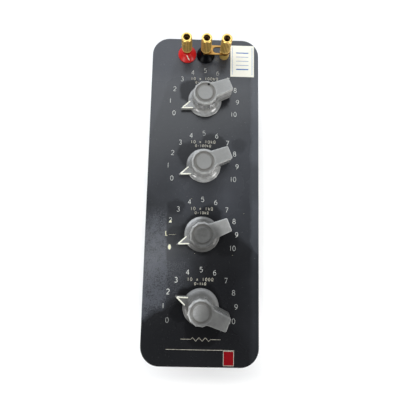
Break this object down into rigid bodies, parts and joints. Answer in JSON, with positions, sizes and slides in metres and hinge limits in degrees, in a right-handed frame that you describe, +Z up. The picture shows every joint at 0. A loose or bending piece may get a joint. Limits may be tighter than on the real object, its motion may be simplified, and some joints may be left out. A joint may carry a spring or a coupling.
{
  "type": "decade resistance box",
  "caption": "Long sheet metal box with a dark rounded panel, a row of grey pointer knobs on numbered dials, and gold binding posts joined by a sliding shorting link.",
  "frame": {"origin": "middle of the footprint, on the ground plane under the feet", "axes": "+Z up through the panel, +Y along the box towards the binding posts, +X across to the ground post's side"},
  "size_m": [0.1094, 0.321, 0.1273],
  "materials": {
    "case_paint": "satin grey paint on sheet metal",
    "panel_paint": "fine textured satin charcoal paint",
    "paper": "matte paper",
    "steel": "plated steel",
    "rubber": "matte black rubber",
    "brass": "plain brass",
    "copper_wire": "bare copper wire",
    "red_plastic": "glossy red moulding",
    "black_plastic": "glossy black moulding",
    "gilt_brass": "gold plated brass",
    "tinned_brass": "tinned brass",
    "knob_plastic": "grey moulded plastic, worn satin",
    "phenolic": "brown laminate",
    "wound_card": "card wound with resistance wire"
  },
  "bodies": {
    "box": {"case_shell": "case_paint", "front_panel": "panel_paint", "paper_label": "paper", "corner_pillars": "steel", "case_screws": "steel", "rubber_feet": "rubber", "shaft_bushings": "brass", "panel_nuts": "steel", "deck_pillars": "steel", "contact_studs": "brass", "collector_rings": "brass", "bus_wires": "copper_wire", "red_insulator": "red_plastic", "black_insulator": "black_plastic", "ground_collar": "gilt_brass", "red_stud": "gilt_brass", "black_stud": "gilt_brass", "ground_stud": "gilt_brass", "lower_insulators": "black_plastic", "terminal_nuts": "steel", "solder_lugs": "tinned_brass", "detent_spring_1": "brass", "switch_deck_1": "phenolic", "resistor_cards_1": "wound_card", "detent_spring_2": "brass", "switch_deck_2": "phenolic", "resistor_cards_2": "wound_card", "detent_spring_3": "brass", "switch_deck_3": "phenolic", "resistor_cards_3": "wound_card", "detent_spring_4": "brass", "switch_deck_4": "phenolic", "resistor_cards_4": "wound_card"},
    "dial_1": {"knob_1": "knob_plastic", "set_screws_1": "steel", "shaft_1": "steel", "detent_wheel_1": "brass", "contact_arm_1": "brass"},
    "dial_2": {"knob_2": "knob_plastic", "set_screws_2": "steel", "shaft_2": "steel", "detent_wheel_2": "brass", "contact_arm_2": "brass"},
    "dial_3": {"knob_3": "knob_plastic", "set_screws_3": "steel", "shaft_3": "steel", "detent_wheel_3": "brass", "contact_arm_3": "brass"},
    "dial_4": {"knob_4": "knob_plastic", "set_screws_4": "steel", "shaft_4": "steel", "detent_wheel_4": "brass", "contact_arm_4": "brass"},
    "red_nut": {"red_thumb_nut": "gilt_brass"},
    "black_nut": {"black_thumb_nut": "gilt_brass"},
    "ground_nut": {"ground_thumb_nut": "gilt_brass"},
    "link": {"shorting_link": "gilt_brass"}
  },
  "joints": [
    {"name": "dial_1_turn", "type": "hinge", "parent": "box", "child": "dial_1", "pos_m": [0, 0.09295, 0.0965], "axis": [0, 0, -1], "range_deg": [0, 225]},
    {"name": "dial_2_turn", "type": "hinge", "parent": "box", "child": "dial_2", "pos_m": [0, 0.0263, 0.0965], "axis": [0, 0, -1], "range_deg": [0, 225]},
    {"name": "dial_3_turn", "type": "hinge", "parent": "box", "child": "dial_3", "pos_m": [0, -0.04035, 0.0965], "axis": [0, 0, -1], "range_deg": [0, 225]},
    {"name": "dial_4_turn", "type": "hinge", "parent": "box", "child": "dial_4", "pos_m": [0, -0.107, 0.0965], "axis": [0, 0, -1], "range_deg": [-45, 180]},
    {"name": "red_nut_lift", "type": "slide", "parent": "box", "child": "red_nut", "axis": [0, 0, 1], "range_m": [-0.0023, 0.01]},
    {"name": "black_nut_lift", "type": "slide", "parent": "box", "child": "black_nut", "axis": [0, 0, 1], "range_m": [0, 0.01]},
    {"name": "ground_nut_lift", "type": "slide", "parent": "box", "child": "ground_nut", "axis": [0, 0, 1], "range_m": [0, 0.01]},
    {"name": "link_slide", "type": "slide", "parent": "box", "child": "link", "axis": [1, 0, 0], "range_m": [0, 0.009]}
  ]
}
